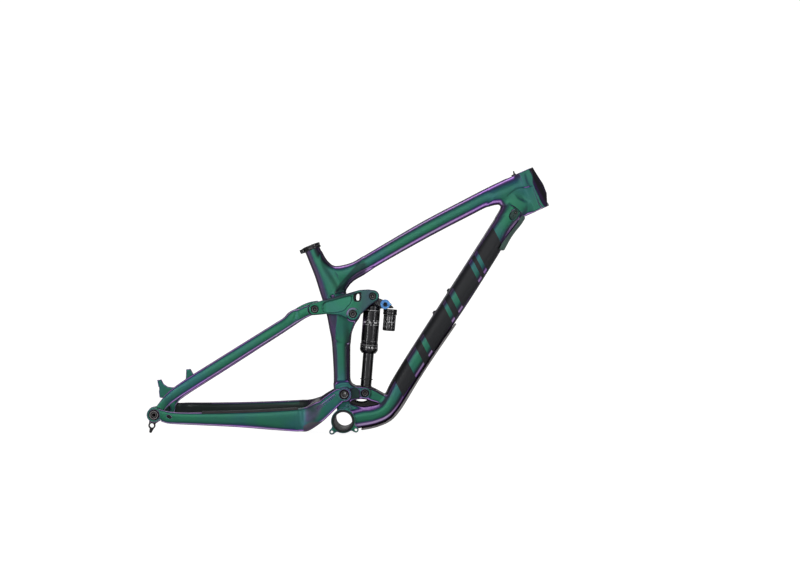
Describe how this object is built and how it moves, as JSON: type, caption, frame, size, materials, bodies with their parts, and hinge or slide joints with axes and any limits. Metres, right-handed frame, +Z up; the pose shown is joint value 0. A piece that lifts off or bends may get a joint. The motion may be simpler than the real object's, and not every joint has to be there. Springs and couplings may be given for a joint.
{
  "type": "full-suspension bicycle frame",
  "caption": "Full-suspension mountain-bike frame with rocker link, rear stays, air shock with reservoir, seat clamp, guards and thru-axle.",
  "frame": {"origin": "middle of the underside: centre of the length and width, at the level of the lowest point; the bottom-bracket centre is at x -0.0165, z 0.0319 m", "axes": "+X forward towards the head tube, +Y to the left (non-drive) side, +Z up"},
  "size_m": [0.957, 0.19, 0.6333],
  "materials": {
    "frame_paint": "colour-shifting clear-coated paint, deep green face on with violet edges",
    "rubber": "matt moulded rubber guard",
    "black_anodised": "black anodised aluminium, satin to gloss",
    "bolt_steel": "black-oxide steel fastener",
    "bright_steel": "machined bright metal bearing or sleeve",
    "black_plastic": "moulded black plastic",
    "blue_anodised": "blue anodised adjuster",
    "red_anodised": "red anodised adjuster"
  },
  "bodies": {
    "front_frame": {"main_frame": "frame_paint", "chainguide_mount": "frame_paint", "downtube_guard": "rubber", "fork_bumper": "rubber", "cable_port_cover_right": "black_plastic", "cable_port_cover_left": "black_plastic", "steerer_stop": "black_plastic", "seat_clamp_collar": "black_anodised", "seat_clamp_bolt": "bolt_steel", "bottle_boss_bolt_upper": "bolt_steel", "bottle_boss_bolt_lower": "bolt_steel", "cable_port_screw_right": "bolt_steel", "cable_port_screw_left": "bolt_steel", "rocker_pivot_bolt_right": "bolt_steel", "rocker_pivot_bolt_left": "bolt_steel", "lower_shock_bolt": "bolt_steel", "lower_shock_nut": "bolt_steel", "bb_shell_sleeve": "bright_steel", "upper_headset_seat": "bright_steel", "lower_headset_seat": "bright_steel", "main_pivot_bearing_right": "bright_steel", "main_pivot_bearing_left": "bright_steel"},
    "chainstay": {"chainstay": "frame_paint", "chainstay_protector": "rubber", "dropout_bearing_right": "bright_steel", "dropout_bearing_left": "bright_steel", "main_pivot_axle": "bolt_steel"},
    "seatstay": {"seatstay": "frame_paint", "stay_pivot_bearing_right": "bright_steel", "stay_pivot_bearing_left": "bright_steel", "rear_axle": "bolt_steel", "axle_collar_right": "bright_steel", "axle_collar_left": "bright_steel", "derailleur_hanger": "black_anodised"},
    "rocker": {"rocker_link": "frame_paint", "rocker_bearing_right": "bright_steel", "rocker_bearing_left": "bright_steel", "stay_pivot_bolt_right": "bolt_steel", "stay_pivot_bolt_left": "bolt_steel", "shock_top_bolt_right": "bolt_steel", "shock_top_bolt_left": "bolt_steel"},
    "shock_shaft": {"damper_body": "black_anodised", "lower_eyelet": "black_anodised", "lower_shock_bushing": "bright_steel", "travel_o_ring": "rubber"},
    "shock_can": {"air_can": "black_anodised", "seal_head": "black_anodised", "shock_head": "black_anodised", "upper_shock_bushing": "bright_steel", "reservoir": "black_anodised", "reservoir_cap": "black_anodised", "air_valve_cap": "black_anodised"},
    "compression_adjuster": {"compression_knob": "blue_anodised"},
    "rebound_adjuster": {"rebound_dial": "red_anodised"}
  },
  "joints": [
    {"name": "chainstay_pivot", "type": "hinge", "parent": "front_frame", "child": "chainstay", "pos_m": [-0.01416, 0, 0.0941], "axis": [0, 1, 0], "range_deg": [0, 19.5]},
    {"name": "seatstay_pivot", "type": "hinge", "parent": "chainstay", "child": "seatstay", "pos_m": [-0.45236, 0, 0.0506], "axis": [0, 1, 0], "range_deg": [-8.2, 0]},
    {"name": "rocker_pivot", "type": "hinge", "parent": "front_frame", "child": "rocker", "pos_m": [0.00584, 0, 0.2835], "axis": [0, 1, 0], "range_deg": [0, 58.2]},
    {"name": "shock_foot_pivot", "type": "hinge", "parent": "front_frame", "child": "shock_shaft", "pos_m": [0.03444, 0, 0.096], "axis": [0, 1, 0], "range_deg": [0, 6.1]},
    {"name": "shock_stroke", "type": "slide", "parent": "shock_shaft", "child": "shock_can", "axis": [0.0789, 0, 0.9969], "range_m": [-0.0575, 0]},
    {"name": "compression_lever", "type": "hinge", "parent": "shock_can", "child": "compression_adjuster", "pos_m": [0.08214, -0.021, 0.3061], "axis": [0, 1, 0], "range_deg": [-30, 30]},
    {"name": "rebound_turn", "type": "hinge", "parent": "shock_can", "child": "rebound_adjuster", "pos_m": [0.08214, 0.02, 0.3061], "axis": [0, 1, 0], "range_deg": [-150, 150]}
  ],
  "couplings": [
    {"joint": "seatstay_pivot", "follows": "chainstay_pivot", "ratio": -0.41429},
    {"joint": "rocker_pivot", "follows": "chainstay_pivot", "ratio": 2.9731},
    {"joint": "shock_foot_pivot", "follows": "chainstay_pivot", "ratio": 0.30832},
    {"joint": "shock_stroke", "follows": "chainstay_pivot", "m_per_rad": -0.16769}
  ]
}
